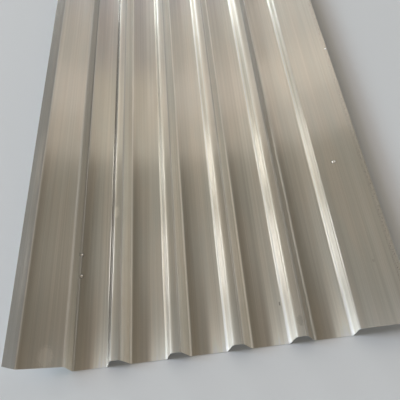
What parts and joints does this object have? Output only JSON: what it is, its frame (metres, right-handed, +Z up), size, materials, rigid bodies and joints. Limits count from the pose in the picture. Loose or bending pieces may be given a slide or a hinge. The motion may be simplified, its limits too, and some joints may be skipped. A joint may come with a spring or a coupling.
{
  "type": "corrugated metal sheet",
  "caption": "Long roll-formed steel sheet with narrow trapezoidal ribs between wide flat pans, a raised side wing with an upturned lip and a plain flat wing, for roofing or cladding.",
  "frame": {"origin": "centre of the bounding box's underside, in the plane that the pans rest on", "axes": "+X across the ribs from the lipped wing to the flat wing, +Y along the ribs from the end nearest the camera, +Z up"},
  "size_m": [0.8098, 2.4, 0.0822],
  "materials": {
    "sheet_metal": "bare zinc-alloy coated steel, satin, with fine roll streaks along the ribs and a little dust and a few small marks"
  },
  "bodies": {
    "root": {"corrugated_sheet": "sheet_metal"}
  },
  "joints": []
}
